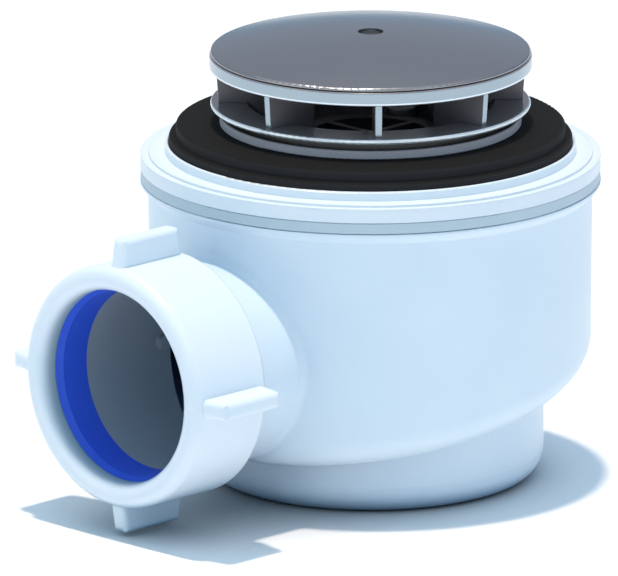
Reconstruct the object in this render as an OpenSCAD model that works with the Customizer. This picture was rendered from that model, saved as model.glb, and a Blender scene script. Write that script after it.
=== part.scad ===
// Floor-standing waste trap for a shower tray: a moulded body with a sloping floor, a screwed cover,
// a drain flange under a raised cap, and a side outlet with a winged union nut.
// Millimetres. Z is up, the foot stands on z = 0 and the outlet points along -Y.

/* [Foot and body] */
// Diameter of the round foot under the bowl
foot_d = 95; // [86:0.5:100]
// Radius of the foot's rounded lower edge
foot_edge_r = 8; // [4:0.5:10]
// Diameter of the bowl at its upper edge
bowl_d = 121.8; // [116:0.2:130]
// How much the bowl narrows from its upper edge to its lower edge, on the diameter
bowl_draft = 1.0; // [0:0.2:2]
// Radius of the bowl's rounded lower edge
bowl_edge_r = 9; // [4:0.5:12]
// Height of the bowl's sloping underside at the middle
floor_z = 23.6; // [20:0.2:27]
// Slope of the bowl's floor, down towards the outlet
floor_slope = 10; // [4:0.5:12]
// Wall thickness of the body
body_wall = 2.5; // [2:0.1:3]
// Height of the body's upper face, where the cover seal lies
body_top_z = 83.4; // [80:0.2:95]
// Height of the inner cup's rim, over which the water runs to the outlet
weir_z = 66; // [56:0.5:68]

/* [Flanged joint] */
// How far the body's flange and the cover's rim stand out from the bowl
joint_rim_w = 2.1; // [1:0.1:4]
// Height of the straight edge of the body's flange
joint_edge_h = 0.8; // [0.5:0.1:2]
// Height of the flare below that edge
joint_flare_h = 2.2; // [1:0.1:4]
// Thickness of the clamped seal between body and cover
joint_seal_t = 3.3; // [2:0.1:4]
// Width of the clamped seal
joint_seal_w = 4; // [2:0.1:4]

/* [Cover] */
// Wall thickness of the cover
cover_wall = 2.4; // [1.8:0.1:3]
// Height of the cover's outer edge above the seal
cover_edge_h = 3.8; // [3:0.1:6]
// Width of the low ledge around the cover's edge
cover_ledge_w = 2.2; // [1:0.1:4]
// Height of the cover's face above that ledge
cover_ledge_h = 0.6; // [0.3:0.1:1.5]
// Width of the thin lip around the tray gasket
gasket_lip_t = 1.0; // [0.8:0.1:2]
// Height of that lip above the cover's face
gasket_lip_h = 2.6; // [1.5:0.1:4]
// Height of the raised seat under the tray gasket
gasket_seat_h = 3; // [2:0.1:4]
// Length of the cover's threaded skirt inside the body
skirt_l = 11; // [8:0.5:14]

/* [Gaskets at the tray] */
// Diameter of the tray gasket's lower flange
tray_gasket_d = 110.4; // [106:0.2:112]
// Diameter of the tray gasket's upper disc
tray_gasket_top_d = 106.6; // [100:0.2:108]
// Height of the tray gasket above the cover's face
tray_gasket_h = 7.7; // [6:0.1:10]
// Height of the tray gasket's lower flange above the cover's face
tray_gasket_flange_h = 4.6; // [3:0.1:5]
// Diameter of the gasket under the drain flange
flange_gasket_d = 82.6; // [76:0.2:86]
// Thickness of the gasket under the drain flange
flange_gasket_t = 2.5; // [1.5:0.1:4]

/* [Drain flange] */
// Diameter of the drain flange's lip
flange_d = 87.6; // [80:0.2:92]
// Thickness of that lip
flange_lip_t = 1.5; // [1:0.1:2]
// Height of the drain flange's upper face above its gasket
flange_h = 3.8; // [3:0.1:6]
// Outer diameter of the bowl that hangs through the tray's hole
drain_bowl_d = 61.4; // [60:0.1:64]
// Depth of that bowl's floor below the flange's upper face
drain_bowl_depth = 10.5; // [9:0.5:12]
// Wall thickness of the drain flange
flange_wall = 1.8; // [1.4:0.1:2.4]
// Width of the throat's edge between the screw heads and the throat, on which the dip tube hangs
throat_edge_w = 2.3; // [1.8:0.1:4]
// Depth of the throat's end below the bowl's floor
throat_l = 14; // [10:0.5:16]
// Width of the sloping mouth around the bowl
mouth_w = 5; // [2:0.5:6]

/* [Cap] */
// Diameter of the cap's skirt
cap_d = 88.2; // [80:0.2:92]
// Height of the skirt
cap_skirt_h = 3.8; // [3:0.1:6]
// Gap between the drain flange and the skirt, through which the water runs in
cap_gap = 9.4; // [6:0.1:14]
// Rise of the domed plate above its own edge
cap_rise = 5.8; // [4:0.1:8]
// Thickness of the domed plate
plate_t = 0.9; // [0.6:0.1:1.5]
// Radius of the plate's rounded edge
plate_edge_r = 0.6; // [0.4:0.1:1]
// Width of the shadow gap between plate and skirt
plate_gap = 0.4; // [0.3:0.1:1]
// Diameter of the lifting hole in the plate
lift_hole_d = 7; // [4:0.5:12]
// Number of upright fins under the skirt
fin_count = 8; // [6:1:12]
// Thickness of a fin
fin_t = 1.8; // [1.2:0.1:3]
// How far the fins are turned from the outlet's line
fin_turn = 2.9; // [0:0.1:22]

/* [Outlet] */
// Height of the outlet's axis above the floor
outlet_z = 42.5; // [40:0.5:48]
// Diameter of the waste pipe that the outlet takes
pipe_d = 50; // [48:1:50]
// Wall thickness of the outlet spigot
spigot_wall = 2.5; // [2:0.1:3]
// Distance of the spigot's end from the trap's middle
spigot_l = 88; // [84:0.5:92]
// Diameter of the two pegs that stop the pipe
peg_d = 4.6; // [3:0.1:6]
// Height of these pegs
peg_h = 2; // [1:0.1:3]
// How much the bore narrows behind the pegs, on the radius
bore_draft = 0.4; // [0.2:0.1:1]
// Depth of the seal's wedge inside the spigot's mouth
seal_wedge_l = 4; // [3:0.1:6]
// Length of the seal between the spigot and the nut's shoulder
seal_head_l = 6.5; // [4:0.1:9]
// Depth of the seal's sloping mouth
seal_mouth_l = 2; // [1:0.1:3.5]

/* [Union nut] */
// Outer diameter of the nut
nut_d = 67.2; // [66:0.2:72]
// Length of the nut
nut_l = 26; // [22:0.5:30]
// Depth of the nut's nose in front of the seal
nut_nose_l = 5.8; // [5:0.1:8]
// Radius of the nut's rounded nose
nut_nose_r = 3.2; // [2:0.1:3.6]
// Diameter of the opening in the nut's nose
nut_hole_d = 53.6; // [52:0.1:55]
// Distance across two opposite wings
wing_span = 82.6; // [74:0.2:84]
// Thickness of a wing
wing_t = 5; // [3:0.1:7]
// Radius of a wing's rounded edges
wing_edge_r = 1.6; // [0.8:0.1:2.4]
// How far each end of a wing leans in between its root and its tip
wing_lean = 1.7; // [0.6:0.1:2.4]
// Number of wings
wing_count = 4; // [2:1:6]

/* [Dip tube] */
// Gap between the dip tube and the throat around it
dip_gap = 0.7; // [0.5:0.1:1.5]
// Wall thickness of the dip tube
dip_wall = 1.6; // [1.4:0.1:2]
// Depth of the water seal below the cup's rim
water_seal = 52; // [45:0.5:54]
// Thickness of the tube's hanging rim and of its cross bars
dip_rim_t = 1.5; // [1:0.1:2.5]
// Diameter of the section of the O-ring on the dip tube
oring_t = 1.6; // [1.3:0.1:1.7]

/* [Clamping screws] */
// Number of screws that draw the drain flange to the cover
screw_count = 4; // [3:1:4]
// Diameter of the screws
screw_d = 5; // [4:0.5:5]
// Length of the screws under the head
screw_l = 16; // [14:0.5:18]
// Diameter of the screw heads
screw_head_d = 8.4; // [7:0.1:8.6]
// Height of the screw heads
screw_head_h = 3.2; // [2:0.1:4]
// Outer diameter of the brass inserts
insert_d = 6.6; // [6:0.1:7]
// Length of the brass inserts
insert_l = 8.5; // [6:0.5:10]

/* [Clearances] */
// Gap between parts that slide or screw into each other
slide_gap = 0.3; // [0.2:0.05:0.5]
// Gap between the drain flange's bowl and the well around it
well_gap = 0.8; // [0.3:0.1:2]
// Room under the drain flange's bowl for drawing it down
clamp_travel = 4.3; // [3:0.1:5]
// Gap between faces that touch on the real trap and are round
fit_gap = 0.05; // [0.03:0.01:0.1]
// Gap between the outlet's bore and the pipe, on the diameter
pipe_gap = 1; // [0.6:0.1:1.4]
// Height and depth of a thread ridge
thread_depth = 1.2; // [0.8:0.1:1.4]
// Pitch of the ridges
thread_pitch = 3.6; // [3.2:0.1:4]

/* [Hidden] */
$fn = 96;

// Small details that keep their size: how far a cutting shape reaches past what it cuts,
over = 1;
// how deep a ridge or lip is rooted in its wall, and the radii of moulded and of machined edges,
root_depth = 0.5;
soft_edge_r = 0.4;
gasket_edge_r = 0.8;
lip_edge_r = 0.6;
head_edge_r = 0.5;
// the joint's thread, skirt and room below it, the flange's root and the seal's inset from its edge,
joint_thread_drop = 2.4;
skirt_plain_l = 3;
skirt_room = 1;
flange_root_depth = 1;
seal_inset = 0.1;
// the spigot's root, its thread, the lip at its mouth and the step behind the seal's tip,
spigot_root_gap = 2;
spigot_thread_back = 11;
spigot_thread_count = 3;
spigot_lip_t = 0.6;
seal_tip_step = 0.5;
seal_squeeze = 0.1;
seal_throat_step = 0.4;
seal_thread_gap = 0.4;
peg_gap = 0.4;
// the wings' distance from the nut's nose, the depth of their roots and the nose's least flat,
wing_setback = 2;
wing_root_depth = 2.5;
nose_flat = 0.1;
// the tray gasket's step over the cover's seat and the flange gasket's edge around the hub,
seat_step = 3.2;
gasket_proud = 0.6;
// the slope of the drain flange's mouth,
mouth_rise = 0.9;
// the inserts' sink, the pockets' end below them and the wall of the bosses,
insert_sink = 0.2;
pocket_end = 0.6;
boss_floor = 2;
boss_wall = 1.6;
first_screw_angle = 25;
// the dip tube's thicker band and the ring's height in it,
band_h = 8;
oring_rise = 6;
// and the cap frame's wall, the plate's inset, the fins' lean and depth and their root in the skirt
frame_wall = 1.8;
plate_inset = 0.3;
plate_in_edge_r = 0.1;
fin_lean = 0.7;
fin_depth = 5;
fin_bulge = 0.2;
fin_bulge_rise = 2;

// Heights from the floor up
cover_rim_z = body_top_z + joint_seal_t;
cover_ledge_z = cover_rim_z + cover_edge_h;
cover_face_z = cover_ledge_z + cover_ledge_h;
gasket_seat_z = cover_face_z + gasket_seat_h;
tray_gasket_top_z = cover_face_z + tray_gasket_h;
flange_seat_z = tray_gasket_top_z + flange_gasket_t;
flange_top_z = flange_seat_z + flange_h;
drain_floor_z = flange_top_z - drain_bowl_depth;
throat_end_z = drain_floor_z - throat_l;
well_floor_z = drain_floor_z - flange_wall - clamp_travel;
skirt_low_z = flange_top_z + cap_gap;
skirt_top_z = skirt_low_z + cap_skirt_h;
plate_low_z = skirt_top_z + plate_gap;
crown_z = plate_low_z + cap_rise;

// Body
foot_r = foot_d / 2;
cup_r = foot_r - body_wall;
bowl_r = bowl_d / 2;
bowl_low_r = bowl_r - bowl_draft / 2;
bowl_in_r = bowl_r - body_wall;
slope = tan(floor_slope);
floor_t = body_wall / cos(floor_slope);
joint_r = bowl_r + joint_rim_w;
mouth_r = bowl_in_r + slide_gap;
mouth_depth = skirt_l + skirt_room;
joint_thread_z = body_top_z - joint_thread_drop;
joint_thread_count = floor((skirt_l - skirt_plain_l) / thread_pitch);

// Outlet and union nut, with their reach from the trap's middle
bore_r = (pipe_d + pipe_gap) / 2;
spigot_r = bore_r + spigot_wall;
spigot_root_l = foot_r + spigot_root_gap;
seal_tip_l = spigot_l - seal_wedge_l;
seal_tip_r = bore_r + seal_tip_step;
seal_mouth_r = spigot_r - spigot_lip_t;
shoulder_l = spigot_l + seal_head_l;
spigot_thread_l = spigot_l - spigot_thread_back;
nut_r = nut_d / 2;
nut_hole_r = nut_hole_d / 2;
nut_core_r = spigot_r + thread_depth + slide_gap;
nut_front_l = shoulder_l + nut_nose_l;
nut_rear_l = nut_front_l - nut_l;
nose_r = min(nut_nose_r, (nut_r - nut_hole_r) / 2 - nose_flat);
wing_front_l = nut_front_l - wing_setback;
wing_root_r = nut_r - wing_root_depth;
wing_reach = wing_span / 2 - wing_root_r;
peg_l = sqrt(bowl_in_r * bowl_in_r - bore_r * bore_r) + peg_gap + peg_d / 2;
bore_low_l = peg_l + peg_d / 2 + peg_gap;

// Drain flange
flange_r = flange_d / 2;
hub_r = flange_gasket_d / 2 - gasket_proud;
drain_bowl_r = drain_bowl_d / 2;
drain_in_r = drain_bowl_r - flange_wall;
mouth_top_r = drain_in_r + mouth_w;
mouth_z = flange_top_z - mouth_w * mouth_rise;
throat_r = drain_in_r - screw_head_d - throat_edge_w;
socket_r = throat_r + flange_wall + slide_gap;

// Cover and gaskets
tray_gasket_r = tray_gasket_d / 2;
tray_gasket_top_r = tray_gasket_top_d / 2;
lip_in_r = tray_gasket_r + 2 * fit_gap;
lip_out_r = lip_in_r + gasket_lip_t;
seat_r = tray_gasket_top_r - seat_step;
well_r = drain_bowl_r + well_gap;
skirt_r = mouth_r - thread_depth - slide_gap;
skirt_in_r = skirt_r - cover_wall;

// Clamping screws and inserts
screw_r = screw_d / 2;
screw_circle_r = drain_in_r - screw_head_d / 2 - slide_gap / 2;
screw_tip_z = drain_floor_z - screw_l;
insert_r = insert_d / 2;
insert_top_z = well_floor_z - insert_sink;
insert_low_z = insert_top_z - insert_l;
pocket_low_z = min(screw_tip_z, insert_low_z) - pocket_end;
boss_r = insert_r + boss_wall;

// Dip tube
dip_r = throat_r - dip_gap;
dip_in_r = dip_r - dip_wall;
dip_low_z = weir_z - water_seal;
dip_rim_r = screw_circle_r - screw_head_d / 2 - slide_gap;
band_r = throat_r - slide_gap;
oring_z = throat_end_z + oring_rise;
oring_r = throat_r - oring_t / 2 - fit_gap;
groove_r = oring_r - oring_t / 2 - fit_gap;

// Cap: the dome's surfaces are spheres about one centre
cap_r = cap_d / 2;
plate_r = cap_r - plate_inset;
plate_rise = cap_rise - plate_edge_r - 2 * fit_gap;
dome_r = (plate_r * plate_r + plate_rise * plate_rise) / (2 * plate_rise);
dome_z = crown_z - dome_r;
frame_dome_r = dome_r - plate_t - fit_gap;
frame_step_r = plate_r - plate_t - fit_gap;
fin_r = cap_r - frame_wall;
fin_foot_r = fin_r - fin_lean;
fin_in_r = drain_in_r - fin_depth;
fin_heel_r = drain_in_r - slide_gap;
fin_heel_z = drain_floor_z + screw_head_h + 2 * slide_gap;

// Height of a sphere about the dome's centre, at radius r from the axis
function dome_height(sphere_r, r) = dome_z + sqrt(sphere_r * sphere_r - r * r);

// Sections, drawn with radius across and height up

// Rectangle from the axis out to r, its outer lower corner rounded
module cup_section(r, h, edge_r) {
    translate([0, edge_r]) square([r, h - edge_r]);
    square([r - edge_r, edge_r + over]);
    translate([r - edge_r, edge_r]) circle(edge_r);
}

// Rectangle from r_in to r_out with rounded outer corners
module soft_section(r_in, r_out, low, high, edge_r) {
    translate([r_in, low]) square([r_out - r_in - edge_r, high - low]);
    translate([r_in, low + edge_r]) square([r_out - r_in, high - low - 2 * edge_r]);
    for (z = [low + edge_r, high - edge_r])
        translate([r_out - edge_r, z]) circle(edge_r);
}

// Space inside the dome's sphere and inside radius r, above height low, its rim rounded
module dome_section(sphere_r, r, low, edge_r) {
    edge_z = dome_height(sphere_r - edge_r, r - edge_r);
    touch_r = (r - edge_r) * sphere_r / (sphere_r - edge_r);
    intersection() {
        translate([0, dome_z]) circle(sphere_r);
        translate([0, low]) square([touch_r, crown_z - low + over]);
    }
    translate([0, low]) square([r, edge_z - low]);
    translate([r - edge_r, edge_z]) circle(edge_r);
}

// Ring with a rectangular section
module ring(r_in, r_out, low, high) {
    rotate_extrude() translate([r_in, low]) square([r_out - r_in, high - low]);
}

// Ridges of a coarse thread, drawn as rings, the lowest at height low
module thread_ridges(r_in, r_out, low, count) {
    for (i = [0 : count - 1])
        ring(r_in, r_out, low + i * thread_pitch, low + i * thread_pitch + thread_depth);
}

// Turns children from upright to the outlet's axis, so that their height becomes reach
module to_outlet() {
    translate([0, 0, outlet_z]) rotate([90, 0, 0]) children();
}

// Puts children in the place of screw i
module at_screw(i) {
    rotate(first_screw_angle + i * 360 / screw_count)
        translate([screw_circle_r, 0, 0]) children();
}

// Body

// Leans children's level faces down towards the outlet and leaves upright walls upright
module sloped() {
    multmatrix([[1, 0, 0, 0], [0, 1, 0, 0], [0, slope, 1, 0], [0, 0, 0, 1]]) children();
}

// Section of the bowl, up to height h at its wall
module bowl_section(r_top, r_low, edge_r, h) {
    polygon([[0, edge_r], [r_low, edge_r], [r_top, h], [0, h]]);
    square([r_low - edge_r, edge_r + over]);
    translate([r_low - edge_r, edge_r]) circle(edge_r);
}

// Round bowl with a sloping floor and a rounded lower edge, cut level at the top
module bowl_form(r_top, r_low, edge_r, low_z, top_z) {
    h = top_z - low_z + slope * r_top + over;
    intersection() {
        union() {
            for (quarter = [0 : 90 : 270])
                translate([0, 0, low_z]) sloped() rotate(quarter)
                    rotate_extrude(angle = 90) bowl_section(r_top, r_low, edge_r, h);
        }
        cylinder(r = r_top + over, h = top_z);
    }
}

// Flange around the bowl's mouth, with a flare below that ends inside the bowl's wall
module body_flange() {
    inner_r = bowl_r - flange_root_depth;
    edge_z = body_top_z - joint_edge_h;
    flare = joint_flare_h / (joint_r - bowl_r);
    rotate_extrude() polygon([
        [inner_r, body_top_z],
        [joint_r, body_top_z],
        [joint_r, edge_z],
        [inner_r, edge_z - flare * (joint_r - inner_r)]
    ]);
}

// Outside of the body: bowl, outlet spigot, flange, foot and cup
module body_outside() {
    difference() {
        union() {
            bowl_form(bowl_r, bowl_low_r, bowl_edge_r, floor_z, body_top_z);
            to_outlet() translate([0, 0, foot_r]) cylinder(r = spigot_r, h = spigot_l - foot_r);
        }
        bowl_form(bowl_in_r, bowl_low_r - body_wall, bowl_edge_r - body_wall,
            floor_z + floor_t, body_top_z + over);
    }
    body_flange();
    rotate_extrude() cup_section(foot_r, weir_z, foot_edge_r);
}

// Space inside the spigot: its narrow root, the bore for the pipe and the mouth for the seal's wedge
module outlet_space() {
    to_outlet() rotate_extrude() polygon([
        [0, spigot_root_l],
        [bore_r - bore_draft, spigot_root_l],
        [bore_r, bore_low_l],
        [bore_r, seal_tip_l],
        [seal_tip_r, seal_tip_l],
        [seal_mouth_r, spigot_l],
        [seal_mouth_r, spigot_l + over],
        [0, spigot_l + over]
    ]);
}

// Peg on one side wall of the outlet's bore, which stops the pipe
module stop_peg(side) {
    to_outlet() translate([side * (bore_r - peg_h), 0, peg_l])
        rotate([0, side * 90, 0]) cylinder(d = peg_d, h = peg_h + over);
}

module trap_body() {
    color("white") {
        difference() {
            body_outside();
            translate([0, 0, body_wall])
                rotate_extrude() cup_section(cup_r, weir_z, foot_edge_r - body_wall);
            ring(bowl_in_r - over, mouth_r, body_top_z - mouth_depth, body_top_z + over);
            outlet_space();
        }
        for (side = [-1, 1])
            stop_peg(side);
        thread_ridges(mouth_r - thread_depth, mouth_r + root_depth,
            joint_thread_z - (joint_thread_count - 1) * thread_pitch, joint_thread_count);
        to_outlet()
            thread_ridges(spigot_r - root_depth, spigot_r + thread_depth, spigot_thread_l,
                spigot_thread_count);
    }
}

module cover_seal() {
    color("silver") rotate_extrude()
        soft_section(joint_r - joint_seal_w, joint_r - seal_inset, body_top_z, cover_rim_z, soft_edge_r);
}

// Cover

// Section of the cover from its socket, up over the gasket seat, out to its edge and down the skirt
module cover_section() {
    ledge_r = joint_r - cover_ledge_w;
    polygon([
        [socket_r, well_floor_z],
        [well_r, well_floor_z],
        [well_r, gasket_seat_z],
        [seat_r, gasket_seat_z],
        [seat_r, cover_face_z],
        [ledge_r, cover_face_z],
        [ledge_r, cover_ledge_z],
        [joint_r, cover_ledge_z],
        [joint_r, cover_rim_z],
        [skirt_r, cover_rim_z],
        [skirt_r, body_top_z - skirt_l],
        [skirt_in_r, body_top_z - skirt_l],
        [skirt_in_r, cover_face_z - cover_wall],
        [seat_r - cover_wall, cover_face_z - cover_wall],
        [seat_r - cover_wall, gasket_seat_z - cover_wall],
        [well_r + cover_wall, gasket_seat_z - cover_wall],
        [well_r + cover_wall, well_floor_z - cover_wall],
        [socket_r + cover_wall, well_floor_z - cover_wall],
        [socket_r + cover_wall, throat_end_z],
        [socket_r, throat_end_z]
    ]);
    lip_edge_r = gasket_lip_t / 2;
    lip_round_z = cover_face_z + gasket_lip_h - lip_edge_r;
    translate([lip_in_r, cover_face_z - over]) square([gasket_lip_t, lip_round_z - cover_face_z + over]);
    translate([lip_in_r + lip_edge_r, lip_round_z]) circle(lip_edge_r);
}

module trap_cover() {
    color("white") {
        difference() {
            union() {
                rotate_extrude() cover_section();
                for (i = [0 : screw_count - 1])
                    at_screw(i) translate([0, 0, pocket_low_z - boss_floor])
                        cylinder(r = boss_r, h = well_floor_z - pocket_low_z + over);
            }
            cylinder(r = socket_r, h = crown_z);
            for (i = [0 : screw_count - 1])
                at_screw(i) {
                    translate([0, 0, pocket_low_z]) cylinder(r = screw_r + slide_gap, h = crown_z);
                    translate([0, 0, insert_low_z]) cylinder(r = insert_r + fit_gap, h = crown_z);
                }
        }
        thread_ridges(skirt_r - root_depth, skirt_r + thread_depth,
            joint_thread_z - (joint_thread_count - 0.5) * thread_pitch, joint_thread_count);
    }
}

// Gaskets

module tray_gasket() {
    flange_z = cover_face_z + tray_gasket_flange_h;
    color("black") rotate_extrude() difference() {
        union() {
            soft_section(well_r, tray_gasket_r, cover_face_z, flange_z, gasket_edge_r);
            soft_section(well_r, tray_gasket_top_r, flange_z - over - gasket_edge_r, tray_gasket_top_z,
                gasket_edge_r);
        }
        translate([well_r - over, cover_face_z - over])
            square([seat_r + 2 * fit_gap - well_r + over, gasket_seat_h + over]);
    }
}

module flange_gasket() {
    color("dimgray") rotate_extrude()
        soft_section(well_r, flange_gasket_d / 2, tray_gasket_top_z, flange_seat_z, soft_edge_r);
}

// Drain flange

// Section of the flange from its throat, over the bowl's floor and mouth, to the hollow hub
module flange_section() {
    groove_z = flange_top_z - flange_wall;
    low_z = drain_floor_z - flange_wall;
    polygon([
        [throat_r, throat_end_z],
        [throat_r, drain_floor_z],
        [drain_in_r, drain_floor_z],
        [drain_in_r, mouth_z],
        [mouth_top_r, flange_top_z],
        [hub_r, flange_top_z],
        [hub_r, flange_seat_z],
        [hub_r - flange_wall, flange_seat_z],
        [hub_r - flange_wall, groove_z],
        [mouth_top_r, groove_z],
        [mouth_top_r, flange_seat_z],
        [drain_bowl_r, flange_seat_z],
        [drain_bowl_r, low_z],
        [throat_r + flange_wall, low_z],
        [throat_r + flange_wall, throat_end_z]
    ]);
}

module drain_flange() {
    color("lightsteelblue") difference() {
        union() {
            rotate_extrude() flange_section();
            rotate_extrude()
                soft_section(hub_r - over, flange_r, flange_top_z - flange_lip_t, flange_top_z, lip_edge_r);
        }
        for (i = [0 : screw_count - 1])
            at_screw(i) translate([0, 0, drain_floor_z - flange_wall - over])
                cylinder(r = screw_r + slide_gap, h = flange_wall + 2 * over);
    }
}

// Screw i of the clamping screws, with a crossed recess in its head
module clamp_screw(i) {
    recess_w = 1.2;
    recess_l = screw_head_d * 0.6;
    recess_depth = screw_head_h * 0.5;
    recess_z = drain_floor_z + screw_head_h - recess_depth;
    color("silver") at_screw(i) difference() {
        rotate_extrude() {
            soft_section(0, screw_head_d / 2, drain_floor_z, drain_floor_z + screw_head_h, head_edge_r);
            translate([0, screw_tip_z]) square([screw_r, screw_l + over]);
        }
        for (turn = [0, 90])
            rotate(turn) translate([-recess_l / 2, -recess_w / 2, recess_z])
                cube([recess_l, recess_w, recess_depth + over]);
    }
}

// Brass insert i, with a groove around its middle
module clamp_insert(i) {
    groove_h = insert_l / 5;
    groove_depth = 0.3;
    color("goldenrod") at_screw(i) rotate_extrude() difference() {
        translate([screw_r + fit_gap, insert_low_z]) square([insert_r - screw_r - fit_gap, insert_l]);
        translate([insert_r - groove_depth, insert_low_z + insert_l / 2 - groove_h / 2])
            square([over, groove_h]);
    }
}

// Dip tube

module dip_tube() {
    bar_w = 2;
    bar_h = dip_rim_t * 2;
    bar_l = 2 * dip_in_r + dip_wall;
    top_z = drain_floor_z + dip_rim_t;
    color("whitesmoke") {
        rotate_extrude() difference() {
            union() {
                translate([dip_in_r, dip_low_z]) square([dip_wall, top_z - dip_low_z]);
                translate([dip_in_r, drain_floor_z]) square([dip_rim_r - dip_in_r, dip_rim_t]);
                translate([dip_in_r, oring_z - band_h / 2]) square([band_r - dip_in_r, band_h]);
            }
            translate([groove_r, oring_z - oring_t / 2 - fit_gap])
                square([band_r, oring_t + 2 * fit_gap]);
        }
        for (turn = [0, 90])
            rotate(turn) translate([-bar_l / 2, -bar_w / 2, top_z - bar_h])
                cube([bar_l, bar_w, bar_h]);
    }
}

module dip_tube_oring() {
    color("black") translate([0, 0, oring_z])
        rotate_extrude() translate([oring_r, 0]) circle(d = oring_t);
}

// Cap

// Upright fin that stands on the drain flange, its heel inside the flange's mouth
module fin() {
    mid_r = frame_dome_r - frame_wall / 2;
    rotate([90, 0, 0]) translate([0, 0, -fin_t / 2]) linear_extrude(fin_t) polygon([
        [fin_foot_r, flange_top_z],
        [fin_r, skirt_low_z],
        [fin_r + fin_bulge, skirt_low_z + fin_bulge_rise],
        [fin_r, dome_height(mid_r, fin_r)],
        [fin_in_r, dome_height(mid_r, fin_in_r)],
        [fin_in_r, fin_heel_z],
        [fin_heel_r, fin_heel_z],
        [fin_heel_r, mouth_z],
        [mouth_top_r - slide_gap, flange_top_z]
    ]);
}

module cap_frame() {
    color("lightsteelblue") {
        rotate_extrude() difference() {
            union() {
                dome_section(frame_dome_r, frame_step_r, skirt_top_z - over, soft_edge_r);
                soft_section(0, cap_r, skirt_low_z, skirt_top_z, soft_edge_r);
            }
            dome_section(frame_dome_r - frame_wall, fin_r, skirt_low_z - over, soft_edge_r);
            translate([0, skirt_low_z]) square([lift_hole_d / 2 + slide_gap, crown_z - skirt_low_z]);
        }
        for (i = [0 : fin_count - 1])
            rotate(fin_turn - 90 + i * 360 / fin_count) fin();
    }
}

module cap_plate() {
    color("lightsteelblue") rotate_extrude() difference() {
        dome_section(dome_r, plate_r, plate_low_z, plate_edge_r);
        dome_section(dome_r - plate_t, plate_r - plate_t, plate_low_z - over, plate_in_edge_r);
        translate([0, plate_low_z]) square([lift_hole_d / 2, cap_rise + over]);
    }
}

// Outlet

// The seal's wedge lies in the spigot's mouth and its head under the nut's shoulder
module outlet_seal() {
    inner_r = bore_r - seal_squeeze;
    head_r = spigot_r + thread_depth - seal_thread_gap;
    color("royalblue") to_outlet() rotate_extrude() polygon([
        [inner_r, seal_tip_l + fit_gap],
        [inner_r + seal_throat_step, shoulder_l - seal_mouth_l],
        [nut_hole_r - seal_squeeze, shoulder_l],
        [head_r, shoulder_l],
        [head_r, spigot_l],
        [seal_mouth_r - fit_gap, spigot_l],
        [seal_tip_r - fit_gap, seal_tip_l + fit_gap]
    ]);
}

// Rectangle about the origin with four rounded corners
module rounded_bar(across, up, edge_r) {
    square([across - 2 * edge_r, up], center = true);
    square([across, up - 2 * edge_r], center = true);
    for (x = [-1, 1], y = [-1, 1])
        translate([x * (across / 2 - edge_r), y * (up / 2 - edge_r)]) circle(edge_r);
}

// End of a wing that reaches out along X: a bar with rounded edges, its end at height 0 at the root
// and leaning in towards the tip
module wing_end() {
    multmatrix([[1, 0, 0, 0], [0, 1, 0, 0], [-wing_lean / wing_reach, 0, 1, 0], [0, 0, 0, 1]])
        translate([0, 0, -nut_l]) intersection() {
            rotate([0, 90, 0])
                linear_extrude(wing_reach) rounded_bar(2 * nut_l, wing_t, wing_edge_r);
            translate([0, wing_t / 2, 0]) rotate([90, 0, 0])
                linear_extrude(wing_t) rounded_bar(2 * wing_reach, 2 * nut_l, wing_edge_r);
        }
}

// Wing of the nut, its sides rounded into its tip and its two leaning ends
module wing() {
    translate([wing_root_r, 0, 0]) intersection() {
        translate([0, 0, wing_front_l]) wing_end();
        translate([0, 0, nut_rear_l]) mirror([0, 0, 1]) wing_end();
        translate([0, 0, nut_rear_l - over])
            linear_extrude(nut_l) rounded_bar(2 * wing_reach, wing_t, wing_edge_r);
    }
}

module outlet_nut() {
    nose_l = nut_front_l - nose_r;
    color("white") to_outlet() {
        rotate_extrude() difference() {
            union() {
                translate([nut_hole_r, nut_rear_l]) square([nut_r - nut_hole_r, nose_l - nut_rear_l]);
                translate([nut_hole_r + nose_r, shoulder_l])
                    square([nut_r - nut_hole_r - 2 * nose_r, nut_front_l - shoulder_l]);
                for (r = [nut_hole_r + nose_r, nut_r - nose_r])
                    translate([r, nose_l]) circle(nose_r);
            }
            translate([0, nut_rear_l - over]) square([nut_core_r, shoulder_l - nut_rear_l + over]);
        }
        for (i = [0 : wing_count - 1])
            rotate(i * 360 / wing_count) wing();
        thread_ridges(spigot_r + slide_gap, nut_core_r + root_depth, spigot_thread_l + thread_pitch / 2,
            spigot_thread_count);
    }
}

trap_body();
cover_seal();
trap_cover();
tray_gasket();
flange_gasket();
drain_flange();
dip_tube();
dip_tube_oring();
cap_frame();
cap_plate();
outlet_seal();
outlet_nut();
clamp_screw(0);  // clamp_screw_1
clamp_screw(1);  // clamp_screw_2
clamp_screw(2);  // clamp_screw_3
clamp_screw(3);  // clamp_screw_4
clamp_insert(0);  // clamp_insert_1
clamp_insert(1);  // clamp_insert_2
clamp_insert(2);  // clamp_insert_3
clamp_insert(3);  // clamp_insert_4
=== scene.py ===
import math

import bmesh
import bpy
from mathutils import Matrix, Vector


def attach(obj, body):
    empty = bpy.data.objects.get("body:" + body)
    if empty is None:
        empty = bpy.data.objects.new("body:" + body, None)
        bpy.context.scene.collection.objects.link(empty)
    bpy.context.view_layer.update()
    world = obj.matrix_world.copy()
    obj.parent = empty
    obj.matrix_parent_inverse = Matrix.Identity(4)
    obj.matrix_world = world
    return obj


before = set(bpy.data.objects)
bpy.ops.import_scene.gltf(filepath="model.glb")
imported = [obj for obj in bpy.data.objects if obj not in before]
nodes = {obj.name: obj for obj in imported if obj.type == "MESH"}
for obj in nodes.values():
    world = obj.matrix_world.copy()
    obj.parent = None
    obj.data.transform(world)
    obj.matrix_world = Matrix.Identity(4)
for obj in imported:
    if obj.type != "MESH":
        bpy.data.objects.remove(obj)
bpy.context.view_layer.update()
scene = bpy.context.scene
scene.view_settings.view_transform = "Standard"

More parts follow.
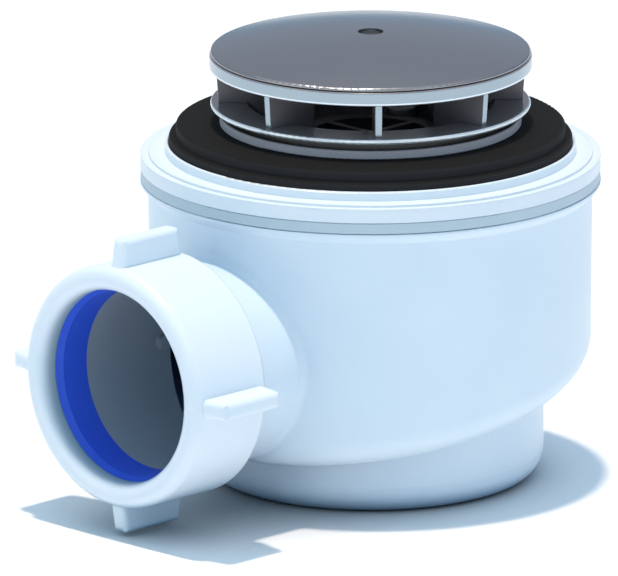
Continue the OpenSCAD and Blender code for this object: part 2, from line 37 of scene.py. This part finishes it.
# Camera
# A very long lens far back keeps the edges of the trap almost parallel. It looks from 45 degrees beside
# the outlet and a little above the floor, so that the open nut, the side wall and the cap all show. Its
# scale holds in a plane through the trap's near side.
MM = 0.001
view_turn = math.radians(45)
view_rise = math.radians(14.8)
view_distance = 7.0
scale_plane = 0.03
picture_px = (618, 576)
px_per_mm = 3.66
foot_px = (370.6, 471.9)

back = Vector((math.sin(view_turn) * math.cos(view_rise), -math.cos(view_turn) * math.cos(view_rise),
               math.sin(view_rise)))
right = Vector((math.cos(view_turn), math.sin(view_turn), 0))
up = back.cross(right)
across_mm = (picture_px[0] / 2 - foot_px[0]) / px_per_mm
upward_mm = (foot_px[1] - picture_px[1] / 2) / px_per_mm
aim = (right * across_mm + up * upward_mm) * MM

camera_data = bpy.data.cameras.new("camera")
camera_data.sensor_width = 36
camera_data.lens = camera_data.sensor_width * view_distance / (picture_px[0] / px_per_mm * MM)
camera_data.clip_start = 0.5
camera_data.clip_end = 30
camera = bpy.data.objects.new("camera", camera_data)
camera.location = aim + back * (view_distance + scale_plane)
camera.rotation_mode = "QUATERNION"
camera.rotation_quaternion = (-back).to_track_quat("-Z", "Y")
scene.collection.objects.link(camera)
scene.camera = camera


# Trap body
# Injection-moulded polypropylene: foot, bowl, inner cup and outlet spigot are one white moulding. The steel
# mould leaves a satin skin with a faint ripple, and the spigot runs into the bowl with a soft blend.
def colour(code):
    """An sRGB hex code as linear red, green, blue and alpha."""
    parts = [int(code[i:i + 2], 16) / 255 for i in (1, 3, 5)]
    return [p / 12.92 if p <= 0.04045 else ((p + 0.055) / 1.055) ** 2.4 for p in parts] + [1.0]


def add_node(material, kind, values=None, links=None, **settings):
    """A node in the material's tree, with its settings, its sockets' values and its sockets' sources."""
    node = material.node_tree.nodes.new(kind)
    for name, value in settings.items():
        setattr(node, name, value)
    for socket, value in (values or {}).items():
        node.inputs[socket].default_value = value
    for socket, source in (links or {}).items():
        material.node_tree.links.new(source, node.inputs[socket])
    return node


def new_material(name):
    """An empty node material and the object's own coordinates, in metres."""
    material = bpy.data.materials.new(name)
    material.use_nodes = True
    material.node_tree.nodes.clear()
    place = add_node(material, "ShaderNodeTexCoord").outputs["Object"]
    return material, place


def finish_material(material, shader):
    """The material with the shader as its surface."""
    add_node(material, "ShaderNodeOutputMaterial", links={"Surface": shader.outputs[0]})
    return material


def shade_gaps(material, tint, tone, reach_mm, shut, clear):
    """Painted shade: the tint runs to a darker tone where other surfaces stand close. Shut and clear are
    the shares of open sky at which only one of the two is left."""
    closeness = add_node(material, "ShaderNodeAmbientOcclusion", {"Distance": reach_mm * MM}, samples=8)
    openness = add_node(material, "ShaderNodeMapRange", {1: shut, 2: clear}, {0: closeness.outputs["AO"]})
    return add_node(material, "ShaderNodeMix", {6: colour(tone)}, {0: openness.outputs[0], 7: tint.outputs[2]},
                    data_type="RGBA")


def paint_core_shade(material, place, tint, tone, axis_mm, core_mm, none_mm, full_mm):
    """Painted shade: the tint, with a darker tone on what lies around the outlet's axis within a radius. The
    tone grows from none to full between two depths behind the outlet's mouth."""
    rim_mm = 0.2
    from_axis = add_node(material, "ShaderNodeVectorMath", {1: (1, 0, 1), 2: (0, 0, -axis_mm * MM)}, {0: place},
                         operation="MULTIPLY_ADD")
    distance = add_node(material, "ShaderNodeVectorMath", None, {0: from_axis.outputs[0]}, operation="LENGTH")
    inside = add_node(material, "ShaderNodeMapRange", {1: (core_mm + rim_mm) * MM, 2: core_mm * MM},
                      {0: distance.outputs["Value"]})
    along = add_node(material, "ShaderNodeSeparateXYZ", None, {0: place})
    deep_in = add_node(material, "ShaderNodeMapRange", {1: none_mm * MM, 2: full_mm * MM},
                       {0: along.outputs[1]})
    core_shade = add_node(material, "ShaderNodeMath", None, {0: inside.outputs[0], 1: deep_in.outputs[0]},
                    operation="MULTIPLY")
    return add_node(material, "ShaderNodeMix", {7: colour(tone)}, {0: core_shade.outputs[0], 6: tint.outputs[2]},
                    data_type="RGBA")


def moulded_plastic(name, pale, deep, roughness, edge_mm, gaps=None, core_shade=None):
    """Moulded polypropylene: a cloudy white, a ripple as fine as orange peel and softly broken edges.
    Where asked, painted shade darkens it in its gaps and around the outlet's axis.
    """
    material, place = new_material(name)
    cloud = add_node(material, "ShaderNodeTexNoise", {"Scale": 40, "Detail": 3}, {"Vector": place})
    tint = add_node(material, "ShaderNodeMix", {6: colour(pale), 7: colour(deep)},
                    {0: cloud.outputs[0]}, data_type="RGBA")
    if gaps:
        tint = shade_gaps(material, tint, **gaps)
    if core_shade:
        tint = paint_core_shade(material, place, tint, **core_shade)
    ripple = add_node(material, "ShaderNodeTexNoise", {"Scale": 700, "Detail": 2}, {"Vector": place})
    gloss = add_node(material, "ShaderNodeMapRange", {3: roughness - 0.04, 4: roughness + 0.06},
                     {0: cloud.outputs[0]})
    soft_edge = add_node(material, "ShaderNodeBevel", {"Radius": edge_mm * MM}, samples=6)
    skin = add_node(material, "ShaderNodeBump", {"Strength": 0.12, "Distance": 0.00003},
                    {"Height": ripple.outputs[0], "Normal": soft_edge.outputs[0]})
    shader = add_node(material, "ShaderNodeBsdfPrincipled", {"IOR": 1.49},
                      {"Base Color": tint.outputs[2], "Roughness": gloss.outputs[0], "Normal": skin.outputs[0]})
    return finish_material(material, shader)


def dress(node, material):
    """Gives a CAD node its material."""
    for slot in nodes[node].material_slots:
        slot.material = material


outlet_z = 42.5
# Painted shade darkens the body in its gaps, and a darker painted shade lines the outlet's bore.
body_plastic = moulded_plastic(
    "body_polypropylene", "#E2EFFB", "#D6E7F7", roughness=0.34, edge_mm=0.6,
    gaps={"tone": "#8FAAC6", "reach_mm": 25, "shut": 0.1, "clear": 0.5},
    core_shade={"tone": "#9AA6AE", "axis_mm": outlet_z, "core_mm": 25.9, "none_mm": -49.5, "full_mm": -50})
dress("trap_body", body_plastic)


def add_piece(name, vertices, faces, material):
    """A smooth mesh piece that rides on the trap, from vertices in millimetres."""
    mesh = bpy.data.meshes.new(name)
    mesh.from_pydata([tuple(value * MM for value in vertex) for vertex in vertices], [], faces)
    mesh.validate()
    mesh.polygons.foreach_set("use_smooth", [True] * len(mesh.polygons))
    mesh.materials.append(material)
    piece = bpy.data.objects.new(name, mesh)
    scene.collection.objects.link(piece)
    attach(piece, "root")
    return piece


# The soft blend around the spigot's root is the path of a ball that rolls along bowl and spigot. It
# shrinks to nothing where the spigot's underside meets the bowl's rounded lower edge.
spigot_r = 28.0
bowl_low_z = 22.9
bowl_low_r = 60.4
bowl_flare = 0.008
blend_r = 2.6
blend_end_deg = 64
blend_fade_deg = 26
blend_step_deg = 4
least_share = 0.02
sink = math.radians(5)
arc_steps = 10
blend_vertices = []
blend_angles = list(range(-blend_end_deg, 181 + blend_end_deg, blend_step_deg))
for degrees in blend_angles:
    below = max(0, -min(degrees, 180 - degrees))
    ball = blend_r * max(least_share, min(1, (blend_end_deg - below) / blend_fade_deg))
    turn = math.radians(degrees)
    z = outlet_z + (spigot_r + ball) * math.sin(turn)
    x = (spigot_r + ball) * math.cos(turn)
    bowl_r = bowl_low_r + bowl_flare * (z - bowl_low_z)
    centre = Vector((x, -math.sqrt((bowl_r + ball) ** 2 - x ** 2), z))
    to_spigot = Vector((-math.cos(turn), 0, -math.sin(turn)))
    to_bowl = Vector((-centre.x, -centre.y, 0)).normalized()
    opening = to_spigot.angle(to_bowl)
    side = (to_bowl - to_spigot * to_bowl.dot(to_spigot)).normalized()
    for step in range(arc_steps + 1):
        angle = -sink + (opening + 2 * sink) * step / arc_steps
        blend_vertices.append(centre + (to_spigot * math.cos(angle) + side * math.sin(angle)) * ball)
row = arc_steps + 1
blend_faces = [(i * row + j, i * row + j + 1, (i + 1) * row + j + 1, (i + 1) * row + j)
               for i in range(len(blend_angles) - 1) for j in range(arc_steps)]
add_piece("spigot_blend", blend_vertices, blend_faces, body_plastic)

# Cover and the seal under its edge
# The cover is the same white plastic, screwed down on a flat ring of grey thermoplastic rubber. The ring
# bulges a little where it is squeezed.
# Painted shade darkens the cover in its gaps.
cover_plastic = moulded_plastic(
    "cover_polypropylene", "#EAF3FB", "#DFECF8", roughness=0.3, edge_mm=0.35,
    gaps={"tone": "#A9C2DA", "reach_mm": 12, "shut": 0.1, "clear": 0.5})
dress("trap_cover", cover_plastic)


def moulded_rubber(name, pale, deep, roughness, grain_mm, sheen=0.5, side=None):
    """Moulded rubber: matt, with a fine dusty grain and no clear highlights. A side tone, where one is
    given, is painted light on the upright surfaces."""
    material, place = new_material(name)
    dust = add_node(material, "ShaderNodeTexNoise", {"Scale": 60, "Detail": 4}, {"Vector": place})
    tint = add_node(material, "ShaderNodeMix", {6: colour(pale), 7: colour(deep)},
                    {0: dust.outputs[0]}, data_type="RGBA")
    # Painted light: the upright surfaces take the side tone.
    if side:
        facing = add_node(material, "ShaderNodeTexCoord").outputs["Normal"]
        upward = add_node(material, "ShaderNodeSeparateXYZ", None, {0: facing})
        level = add_node(material, "ShaderNodeMapRange", {1: 0.3, 2: 0.9}, {0: upward.outputs[2]})
        tint = add_node(material, "ShaderNodeMix", {6: colour(side)}, {0: level.outputs[0], 7: tint.outputs[2]},
                        data_type="RGBA")
    grain = add_node(material, "ShaderNodeTexNoise", {"Scale": 1 / (grain_mm * MM), "Detail": 2},
                     {"Vector": place})
    skin = add_node(material, "ShaderNodeBump", {"Strength": 0.25, "Distance": 0.00004},
                    {"Height": grain.outputs[0]})
    shader = add_node(material, "ShaderNodeBsdfPrincipled",
                      {"IOR": 1.52, "Roughness": roughness, "Specular IOR Level": sheen},
                      {"Base Color": tint.outputs[2], "Normal": skin.outputs[0]})
    return finish_material(material, shader)


dress("cover_seal", moulded_rubber("cover_seal_rubber", "#C2D4E0", "#B6C8D5", roughness=0.55, grain_mm=0.3))

# Gaskets at the tray
# The thick lower gasket is black EPDM and the thin one under the drain flange is grey. Both are pressed
# from sheet rubber, with a skin that only shows a wide, dim sheen.
# The tray gasket's upright surfaces take a lighter, painted-light tone than its tops.
dress("tray_gasket", moulded_rubber("black_epdm", "#1B1C1E", "#161718", roughness=0.85, grain_mm=0.4,
                                    sheen=0.1, side="#2C2C2E"))
dress("flange_gasket", moulded_rubber("grey_epdm", "#C4C0C8", "#B8B4BC", roughness=0.7, grain_mm=0.4))


# Drain flange and cap
# ABS with a satin chrome plating for the flange and the finned frame, and a spun stainless plate on top
# with the finest of brushing.
def paint_inner_shade(material, place, shader, base, grey, gap, bright_mm, turned, mirror, line, line_mm):
    """Painted shade: keeps the plating bright only where it is turned outward beyond a radius, with one painted
    highlight at a height. What else is turned outward gets a dark painted shadow, and the rest turns grey."""
    facing_fade = 0.15
    bright_fade_mm = 0.1
    line_half_mm = 0.2
    level = add_node(material, "ShaderNodeVectorMath", {1: (1, 1, 0)}, {0: place}, operation="MULTIPLY")
    distance = add_node(material, "ShaderNodeVectorMath", None, {0: level.outputs[0]}, operation="LENGTH")
    outward = add_node(material, "ShaderNodeVectorMath", None, {0: level.outputs[0]}, operation="NORMALIZE")
    normal = add_node(material, "ShaderNodeTexCoord").outputs["Normal"]
    facing = add_node(material, "ShaderNodeVectorMath", None, {0: normal, 1: outward.outputs[0]},
                      operation="DOT_PRODUCT")
    outer_side = add_node(material, "ShaderNodeMapRange", {1: turned, 2: turned + facing_fade},
                          {0: facing.outputs["Value"]})
    beyond = add_node(material, "ShaderNodeMapRange", {1: (bright_mm - bright_fade_mm) * MM, 2: bright_mm * MM},
                      {0: distance.outputs["Value"]})
    bright = add_node(material, "ShaderNodeMath", None, {0: outer_side.outputs[0], 1: beyond.outputs[0]},
                      operation="MULTIPLY")
    # Painted highlight: a narrow band at one height takes a lighter tone.
    upward = add_node(material, "ShaderNodeSeparateXYZ", None, {0: place})
    at_line = add_node(material, "ShaderNodeMath", {1: line_mm * MM, 2: line_half_mm * MM},
                       {0: upward.outputs[2]}, operation="COMPARE")
    plating = add_node(material, "ShaderNodeMix", {6: colour(base), 7: colour(line)},
                       {0: at_line.outputs[0]}, data_type="RGBA")
    inner = add_node(material, "ShaderNodeMix", {6: colour(grey), 7: colour(gap)},
                     {0: outer_side.outputs[0]}, data_type="RGBA")
    tint = add_node(material, "ShaderNodeMix", None,
                    {0: bright.outputs[0], 6: inner.outputs[2], 7: plating.outputs[2]}, data_type="RGBA")
    metal = add_node(material, "ShaderNodeMath", {1: mirror}, {0: bright.outputs[0]}, operation="MULTIPLY")
    material.node_tree.links.new(tint.outputs[2], shader.inputs["Base Color"])
    material.node_tree.links.new(metal.outputs[0], shader.inputs["Metallic"])


def plated_metal(name, base, roughness, edge_mm, inner_shade=None):
    """Satin plating: a bright metal whose faint unevenness comes from the plastic under it. Where asked,
    painted shade takes over inside.
    """
    material, place = new_material(name)
    haze = add_node(material, "ShaderNodeTexNoise", {"Scale": 90, "Detail": 3}, {"Vector": place})
    gloss = add_node(material, "ShaderNodeMapRange", {3: roughness - 0.05, 4: roughness + 0.07},
                     {0: haze.outputs[0]})
    soft_edge = add_node(material, "ShaderNodeBevel", {"Radius": edge_mm * MM}, samples=6)
    shader = add_node(material, "ShaderNodeBsdfPrincipled", {"Base Color": colour(base), "Metallic": 1},
                      {"Roughness": gloss.outputs[0], "Normal": soft_edge.outputs[0]})
    if inner_shade:
        paint_inner_shade(material, place, shader, base, **inner_shade)
    return finish_material(material, shader)


# Inside, the plating of flange and frame is painted shade: it turns grey, and a dark painted shadow covers what
# faces outward further in.
flange_chrome = plated_metal(
    "bright_chrome", "#E8F0F6", roughness=0.16, edge_mm=0.4,
    inner_shade={"grey": "#706C6F", "gap": "#161618", "bright_mm": 42, "turned": 0.4, "mirror": 0.6,
          "line": "#E8F0F6", "line_mm": 104})
dress("drain_flange", flange_chrome)
# On the frame, a painted highlight runs along the ring's lower edge.
frame_chrome = plated_metal(
    "satin_chrome", "#A3B1BC", roughness=0.24, edge_mm=0.3,
    inner_shade={"grey": "#827C80", "gap": "#2B2A2C", "bright_mm": 30, "turned": 0.8, "mirror": 1,
          "line": "#DCE6EE", "line_mm": 115})
dress("cap_frame", frame_chrome)


def brushed_plate(name, base, roughness):
    """Stainless sheet brushed in one direction: long, fine scratches that spread the highlight sideways."""
    material, place = new_material(name)
    stretched = add_node(material, "ShaderNodeMapping",
                         {"Rotation": (0, 0, math.radians(45)), "Scale": (0.016, 0.0005, 0.016)},
                         {"Vector": place}, vector_type="TEXTURE")
    scratches = add_node(material, "ShaderNodeTexNoise", {"Scale": 1, "Detail": 4},
                         {"Vector": stretched.outputs[0]})
    gloss = add_node(material, "ShaderNodeMapRange", {3: roughness - 0.03, 4: roughness + 0.04},
                     {0: scratches.outputs[0]})
    skin = add_node(material, "ShaderNodeBump", {"Strength": 0.03, "Distance": 0.00001},
                    {"Height": scratches.outputs[0]})
    shader = add_node(material, "ShaderNodeBsdfPrincipled",
                      {"Base Color": colour(base), "Metallic": 1, "Specular Tint": (0.8, 0.84, 0.88, 1)},
                      {"Roughness": gloss.outputs[0], "Normal": skin.outputs[0]})
    return finish_material(material, shader)


dress("cap_plate", brushed_plate("brushed_stainless", "#93959B", roughness=0.2))

# Outlet nut and seal
# The nut is moulded like the body and drives a wedge of blue rubber into the spigot's mouth. Painted
# shade darkens it in its gaps and on the inside of its lip, next to the seal.
nut_plastic = moulded_plastic(
    "nut_polypropylene", "#E8F1FB", "#DEEDFA", roughness=0.32, edge_mm=0.8,
    gaps={"tone": "#8FB2CC", "reach_mm": 25, "shut": 0.2, "clear": 0.6},
    core_shade={"tone": "#9AB9C0", "axis_mm": outlet_z, "core_mm": 31, "none_mm": -99.6, "full_mm": -95})
dress("outlet_nut", nut_plastic)
dress("outlet_seal", moulded_rubber("blue_rubber", "#3463E8", "#2C58DE", roughness=0.45, grain_mm=0.3))

# Dip tube and its ring
# A plain tube of moulded plastic that hangs in the drain flange's throat and lifts out for cleaning. Its
# dark colour is painted shade, for the shadowed space under the cap.
# A black rubber ring seals it there.
dress("dip_tube", moulded_plastic("dip_tube_polypropylene", "#2A2B2D", "#242527", roughness=0.5, edge_mm=0.4))
dress("dip_tube_oring", moulded_rubber("ring_rubber", "#1D1D1E", "#161617", roughness=0.4, grain_mm=0.2))

# Clamping screws and inserts
# Turned stainless screws draw the drain flange down to the cover. They run in brass inserts that are
# pressed into the cover's bosses.
screw_steel = plated_metal("screw_stainless", "#B9BABC", roughness=0.3, edge_mm=0.15)
insert_brass = plated_metal("insert_brass", "#C89F4E", roughness=0.35, edge_mm=0.15)
for name in nodes:
    if name.startswith("clamp_screw"):
        dress(name, screw_steel)
    if name.startswith("clamp_insert"):
        dress(name, insert_brass)

# Floor
# A wide sheet of matt white paper. The trap's shadow falls straight down on it, and a painted shadow
# darkens it further where the trap stands close. The rest of the sheet is the background.
floor_radius = 6
floor_mesh = bmesh.new()
bmesh.ops.create_circle(floor_mesh, cap_ends=True, radius=floor_radius, segments=96)
floor_data = bpy.data.meshes.new("floor")
floor_mesh.to_mesh(floor_data)
floor_mesh.free()
floor = bpy.data.objects.new("floor", floor_data)
scene.collection.objects.link(floor)
paper, paper_place = new_material("white_paper")
paper_grain = add_node(paper, "ShaderNodeTexNoise", {"Scale": 300, "Detail": 2}, {"Vector": paper_place})
paper_skin = add_node(paper, "ShaderNodeBump", {"Strength": 0.05, "Distance": 0.0001},
                      {"Height": paper_grain.outputs[0]})
# Painted shadow: the paper runs darker where the trap stands close.
closeness = add_node(paper, "ShaderNodeAmbientOcclusion", {"Distance": 0.1}, samples=8)
openness = add_node(paper, "ShaderNodeMapRange", {1: 0.0, 2: 0.6, 3: 0.34, 4: 1.0},
                    {0: closeness.outputs["AO"]})
paper_tone = add_node(paper, "ShaderNodeMix", {6: (0, 0, 0, 1), 7: colour("#F6F8FA")},
                      {0: openness.outputs[0]}, data_type="RGBA")
paper_shader = add_node(paper, "ShaderNodeBsdfPrincipled", {"Roughness": 0.9},
                        {"Base Color": paper_tone.outputs[2], "Normal": paper_skin.outputs[0]})
floor_data.materials.append(finish_material(paper, paper_shader))

# Light
# One small lamp straight above casts the shadow. Wide ones at the side and in front lift the upright
# walls, and a sky that is pale above and dim near the floor fills the rest. What is seen of it is white.
sun_data = bpy.data.lights.new("overhead", "SUN")
sun_data.energy = 2.55
sun_data.angle = math.radians(3)
sun_data.color = (1.0, 0.85, 0.69)
sun = bpy.data.objects.new("overhead", sun_data)
sun.rotation_euler = (math.radians(1), math.radians(-1), 0)
scene.collection.objects.link(sun)

lamp_rise = math.radians(36)
lamp_distance = 2.2
lamp_size = 1.2


def add_soft_lamp(name, turn_deg, energy, tint):
    """A round soft lamp that faces the trap, its turn counted from the outlet's side."""
    turn = math.radians(turn_deg)
    data = bpy.data.lights.new(name, "AREA")
    data.shape = "DISK"
    data.size = lamp_size
    data.energy = energy
    data.color = tint
    lamp = bpy.data.objects.new(name, data)
    toward = Vector((math.sin(turn) * math.cos(lamp_rise), -math.cos(turn) * math.cos(lamp_rise),
                     math.sin(lamp_rise)))
    lamp.location = toward * lamp_distance
    lamp.rotation_mode = "QUATERNION"
    lamp.rotation_quaternion = toward.to_track_quat("Z", "Y")
    scene.collection.objects.link(lamp)


add_soft_lamp("side", turn_deg=105, energy=2.3, tint=(1.0, 0.95, 0.92))
add_soft_lamp("front", turn_deg=-18, energy=3.1, tint=(0.92, 1.0, 0.8))
add_soft_lamp("key", turn_deg=45, energy=3.0, tint=(0.8, 1.0, 1.0))

world = bpy.data.worlds.new("sky")
world.use_nodes = True
world.node_tree.nodes.clear()
direction = add_node(world, "ShaderNodeTexCoord").outputs["Generated"]
height = add_node(world, "ShaderNodeSeparateXYZ", links={0: direction}).outputs[2]
sky_rise = add_node(world, "ShaderNodeMapRange", {1: 0.1, 2: 0.6}, {0: height},
                    interpolation_type="SMOOTHSTEP")
sky_tone = add_node(world, "ShaderNodeMix", {6: (0.22, 0.33, 0.39, 1), 7: (0.36, 0.52, 0.69, 1)},
                    {0: sky_rise.outputs[0]}, data_type="RGBA")
haze_rise = add_node(world, "ShaderNodeMapRange", {1: 0.0, 2: 0.2}, {0: height},
                     interpolation_type="SMOOTHSTEP")
haze_tone = add_node(world, "ShaderNodeMix", {6: (0.33, 0.51, 0.68, 1), 7: (0.55, 0.58, 0.65, 1)},
                     {0: haze_rise.outputs[0]}, data_type="RGBA")
zenith_rise = add_node(world, "ShaderNodeMapRange", {1: 0.5, 2: 0.9}, {0: height},
                       interpolation_type="SMOOTHSTEP")
mirror_tone = add_node(world, "ShaderNodeMix", {7: (0.8, 0.84, 0.9, 1)},
                       {0: zenith_rise.outputs[0], 6: haze_tone.outputs[2]}, data_type="RGBA")
seen_by = add_node(world, "ShaderNodeLightPath")
mirrored = seen_by.outputs["Is Glossy Ray"]
lit_or_mirrored = add_node(world, "ShaderNodeMix", None,
                           {0: mirrored, 6: sky_tone.outputs[2], 7: mirror_tone.outputs[2]}, data_type="RGBA")
seen = add_node(world, "ShaderNodeMix", {7: (1, 1, 1, 1)},
                {0: seen_by.outputs["Is Camera Ray"], 6: lit_or_mirrored.outputs[2]}, data_type="RGBA")
glow = add_node(world, "ShaderNodeBackground", {"Strength": 1.0}, {"Color": seen.outputs[2]})
add_node(world, "ShaderNodeOutputWorld", links={"Surface": glow.outputs[0]})
scene.world = world
